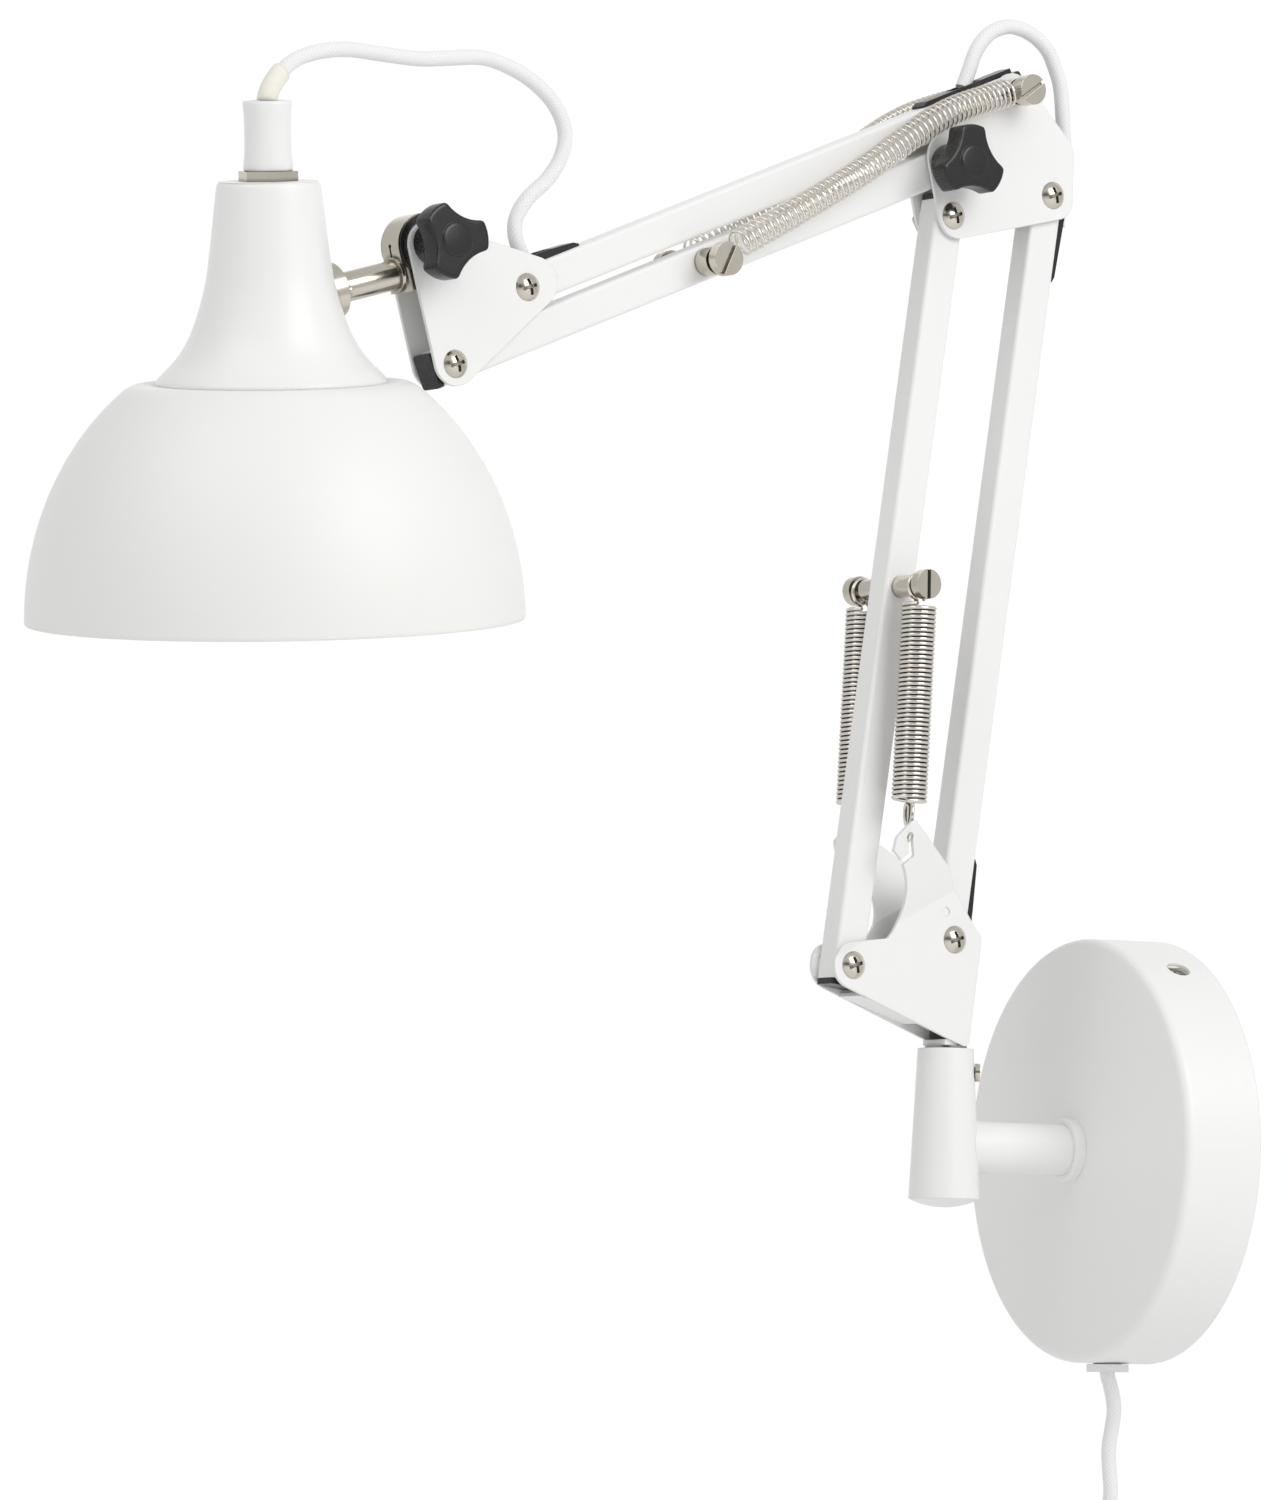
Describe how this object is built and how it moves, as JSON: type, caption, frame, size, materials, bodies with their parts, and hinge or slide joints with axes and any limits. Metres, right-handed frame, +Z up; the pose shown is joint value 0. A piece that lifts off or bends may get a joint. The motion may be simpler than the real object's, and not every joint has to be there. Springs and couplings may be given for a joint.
{
  "type": "wall-mounted adjustable arm lamp",
  "caption": "Spring-balanced double parallelogram arm lamp on a round wall canopy, with a bell-and-dome shade, clamp knobs, a braided cord and a plug.",
  "frame": {"origin": "on the wall, at the middle of the canopy's open back", "axes": "+Z up, -Y out of the wall towards the room, +X along the wall to the right as seen from the room; lengths in metres"},
  "size_m": [0.1746, 0.4429, 0.7032],
  "materials": {
    "black_plastic": "fine satin",
    "blackened_steel": "blackened",
    "nickel": "satin nickel",
    "shade_enamel": "glossy enamel",
    "spring_steel": "bright drawn wire",
    "textile_cord": "braided",
    "white_metal": "satin powder coat",
    "white_plastic": "satin"
  },
  "bodies": {
    "wall_mount": {"wall_plate": "nickel", "canopy": "white_metal", "canopy_screws": "nickel", "stub_collar": "white_metal", "stub_tube": "white_metal", "stub_nut": "nickel", "arm_socket": "white_metal", "set_screw": "nickel", "cord_gland": "white_plastic", "terminal_block": "white_plastic", "base_lead": "textile_cord", "mains_cord": "textile_cord", "mains_coil": "textile_cord", "cord_tie": "black_plastic", "plug_lead": "textile_cord", "mains_plug": "white_plastic", "plug_pins": "nickel"},
    "shoulder": {"lower_bracket": "white_metal", "swivel_pin": "nickel", "swivel_nut": "blackened_steel", "shoulder_bolts": "nickel"},
    "lower_right_arm": {"lower_right_bar": "white_metal", "lower_right_plugs": "black_plastic", "lower_grommets": "black_plastic", "lower_lead": "textile_cord", "shoulder_lead": "textile_cord"},
    "lower_left_arm": {"lower_left_bar": "white_metal", "lower_left_plugs": "black_plastic", "lower_spring_pin": "nickel", "lower_spring_front": "spring_steel", "lower_spring_rear": "spring_steel"},
    "elbow": {"elbow_bracket": "white_metal", "elbow_bolts": "nickel", "upper_spring_anchor": "nickel", "elbow_clamp_bolt": "nickel"},
    "elbow_knob_body": {"elbow_knob": "black_plastic"},
    "upper_top_arm": {"upper_top_bar": "white_metal", "upper_top_plugs": "black_plastic", "upper_grommets": "black_plastic", "upper_lead": "textile_cord", "elbow_lead": "textile_cord"},
    "upper_bottom_arm": {"upper_bottom_bar": "white_metal", "upper_bottom_plugs": "black_plastic", "upper_spring_pin": "nickel", "upper_spring_front": "spring_steel", "upper_spring_rear": "spring_steel"},
    "head": {"head_bracket": "white_metal", "head_bolts": "nickel", "head_clamp_bolt": "nickel"},
    "head_knob_body": {"head_knob": "black_plastic"},
    "yoke": {"head_yoke": "nickel", "yoke_discs": "black_plastic", "shade_tube": "nickel"},
    "shade": {"shade_mount": "nickel", "shade_bell": "white_metal", "shade_dome": "shade_enamel", "lamp_holder": "white_plastic", "top_nut": "nickel", "cable_cap": "white_plastic", "head_lead": "textile_cord"}
  },
  "joints": [
    {"name": "shoulder_swivel", "type": "hinge", "parent": "wall_mount", "child": "shoulder", "pos_m": [0, -0.084, 0.03], "axis": [0, 0, 1], "range_deg": [-80, 70]},
    {"name": "lower_arm_lean", "type": "hinge", "parent": "shoulder", "child": "lower_right_arm", "pos_m": [0.00021, -0.08609, 0.0723], "axis": [0.9951, 0.0993, 0], "range_deg": [-5, 60], "deforming": ["shoulder_lead"]},
    {"name": "lower_left_lean", "type": "hinge", "parent": "shoulder", "child": "lower_left_arm", "pos_m": [0.00453, -0.12937, 0.0616], "axis": [0.9951, 0.0993, 0], "range_deg": [-5, 60], "deforming": ["lower_spring_front", "lower_spring_rear"]},
    {"name": "elbow_level", "type": "hinge", "parent": "lower_right_arm", "child": "elbow", "pos_m": [-0.00365, -0.04745, 0.33848], "axis": [0.9951, 0.0993, 0], "range_deg": [-60, 5]},
    {"name": "elbow_knob_turn", "type": "hinge", "parent": "elbow", "child": "elbow_knob_body", "pos_m": [0.01798, -0.09296, 0.345], "axis": [0.9951, 0.0993, 0], "continuous": true},
    {"name": "upper_arm_lift", "type": "hinge", "parent": "elbow", "child": "upper_top_arm", "pos_m": [-0.00183, -0.06569, 0.3736], "axis": [0.9951, 0.0993, 0], "range_deg": [-75, 2.5], "deforming": ["elbow_lead"]},
    {"name": "upper_bottom_lift", "type": "hinge", "parent": "elbow", "child": "upper_bottom_arm", "pos_m": [0.00106, -0.09465, 0.345], "axis": [0.9951, 0.0993, 0], "range_deg": [-75, 2.5], "deforming": ["upper_spring_front", "upper_spring_rear"]},
    {"name": "head_level", "type": "hinge", "parent": "upper_top_arm", "child": "head", "pos_m": [0.01854, -0.26978, 0.28864], "axis": [0.9951, 0.0993, 0], "range_deg": [-2.5, 75]},
    {"name": "head_knob_turn", "type": "hinge", "parent": "head", "child": "head_knob_body", "pos_m": [0.03951, -0.30869, 0.3002], "axis": [0.9951, 0.0993, 0], "continuous": true},
    {"name": "yoke_tilt", "type": "hinge", "parent": "head", "child": "yoke", "pos_m": [0.0226, -0.31038, 0.3002], "axis": [0.9951, 0.0993, 0], "range_deg": [-60, 4], "deforming": ["head_lead"]},
    {"name": "shade_swivel", "type": "hinge", "parent": "yoke", "child": "shade", "pos_m": [0.02343, -0.31876, 0.28982], "axis": [0.0953, -0.9551, -0.2807], "range_deg": [-60, 60]}
  ],
  "couplings": [
    {"joint": "lower_left_lean", "follows": "lower_arm_lean", "ratio": 1},
    {"joint": "elbow_level", "follows": "lower_arm_lean", "ratio": -1},
    {"joint": "upper_bottom_lift", "follows": "upper_arm_lift", "ratio": 1},
    {"joint": "head_level", "follows": "upper_arm_lift", "ratio": -1}
  ]
}
